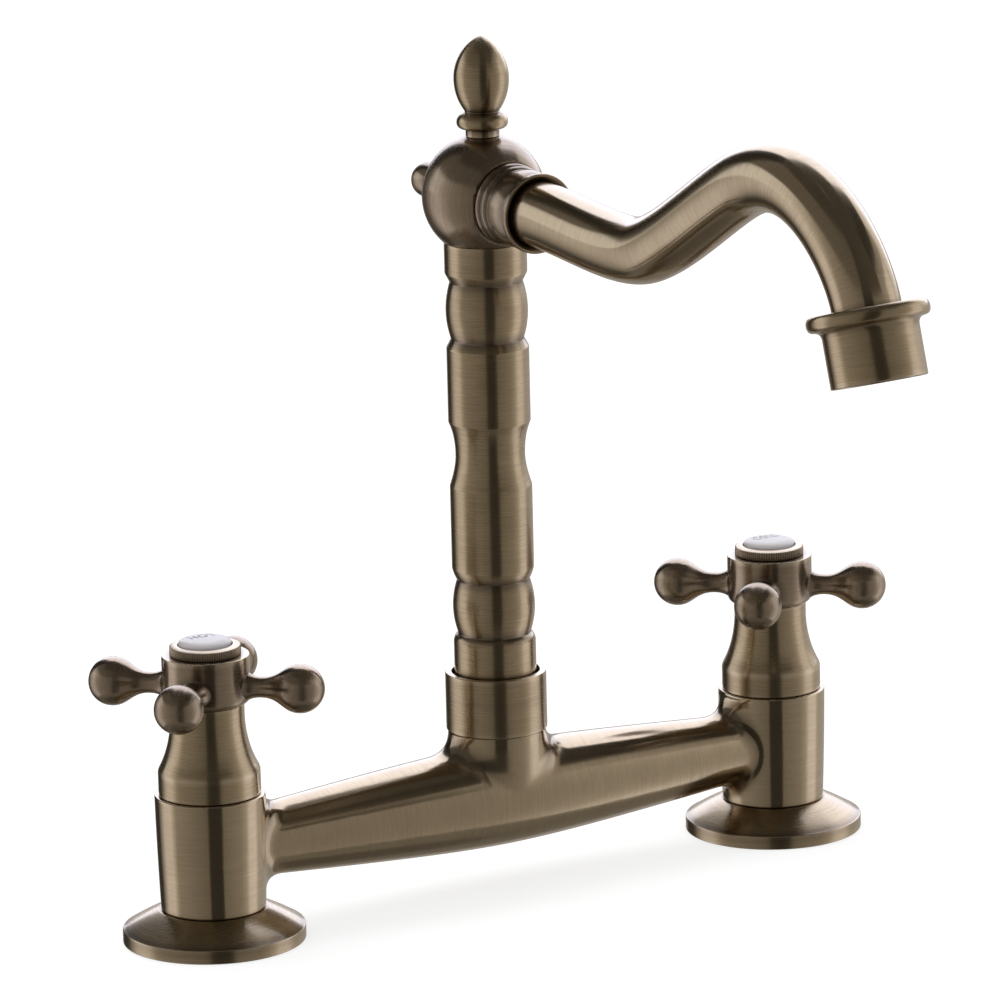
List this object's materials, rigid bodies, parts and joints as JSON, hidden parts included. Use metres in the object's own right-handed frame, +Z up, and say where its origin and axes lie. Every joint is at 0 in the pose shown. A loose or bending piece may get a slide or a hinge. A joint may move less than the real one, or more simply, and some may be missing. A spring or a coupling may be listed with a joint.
{
  "type": "bridge kitchen faucet",
  "caption": "Deck-mounted bridge kitchen faucet in antique brass: hot and cold cross-handle valves on a cast bridge, a turned swivel riser, ball head, finial and curved spout.",
  "frame": {"origin": "on the deck, midway between the hot and cold inlets and on the axis that the riser swivels about", "axes": "+X from the hot leg to the cold leg, -Y the way the spout points at rest, +Z up from the deck"},
  "size_m": [0.2604, 0.257, 0.264],
  "materials": {
    "antique_brass": "brushed and darkened, lacquered",
    "machined_brass": "machined",
    "stainless_steel": "machined",
    "white_porcelain": "glazed",
    "disc_ceramic": "lapped",
    "black_rubber": "moulded",
    "white_acetal": "moulded"
  },
  "bodies": {
    "fixed_body": {"bridge_body": "antique_brass", "riser_socket": "antique_brass", "riser_grub_screw": "stainless_steel", "hot_inlet_bush": "machined_brass", "hot_deck_flange": "antique_brass", "hot_deck_gasket": "black_rubber", "hot_seat_seal": "black_rubber", "hot_cartridge_body": "machined_brass", "hot_fixed_disc": "disc_ceramic", "hot_bonnet": "antique_brass", "cold_inlet_bush": "machined_brass", "cold_deck_flange": "antique_brass", "cold_deck_gasket": "black_rubber", "cold_seat_seal": "black_rubber", "cold_cartridge_body": "machined_brass", "cold_fixed_disc": "disc_ceramic", "cold_bonnet": "antique_brass"},
    "hot_turning": {"hot_handle": "antique_brass", "hot_index_ring": "antique_brass", "hot_index_disc": "white_porcelain", "hot_handle_screw": "stainless_steel", "hot_spindle": "machined_brass", "hot_moving_disc": "disc_ceramic"},
    "cold_turning": {"cold_handle": "antique_brass", "cold_index_ring": "antique_brass", "cold_index_disc": "white_porcelain", "cold_handle_screw": "stainless_steel", "cold_spindle": "machined_brass", "cold_moving_disc": "disc_ceramic"},
    "swivel_spout": {"riser_column": "antique_brass", "riser_slip_ring": "white_acetal", "riser_o_ring_lower": "black_rubber", "riser_o_ring_upper": "black_rubber", "ball_head": "antique_brass", "finial": "antique_brass", "rear_knob": "antique_brass", "spout_union": "antique_brass", "union_seal": "black_rubber", "spout_tube": "antique_brass", "outlet_sleeve": "antique_brass", "aerator_seal": "black_rubber", "aerator_insert": "white_acetal"}
  },
  "joints": [
    {"name": "spout_swivel", "type": "hinge", "parent": "fixed_body", "child": "swivel_spout", "pos_m": [0, 0, 0.0595], "axis": [0, 0, 1], "continuous": true},
    {"name": "hot_valve_turn", "type": "hinge", "parent": "fixed_body", "child": "hot_turning", "pos_m": [-0.1016, 0, 0.0793], "axis": [0, 0, 1], "range_deg": [0, 90]},
    {"name": "cold_valve_turn", "type": "hinge", "parent": "fixed_body", "child": "cold_turning", "pos_m": [0.1016, 0, 0.0793], "axis": [0, 0, 1], "range_deg": [-90, 0]}
  ]
}
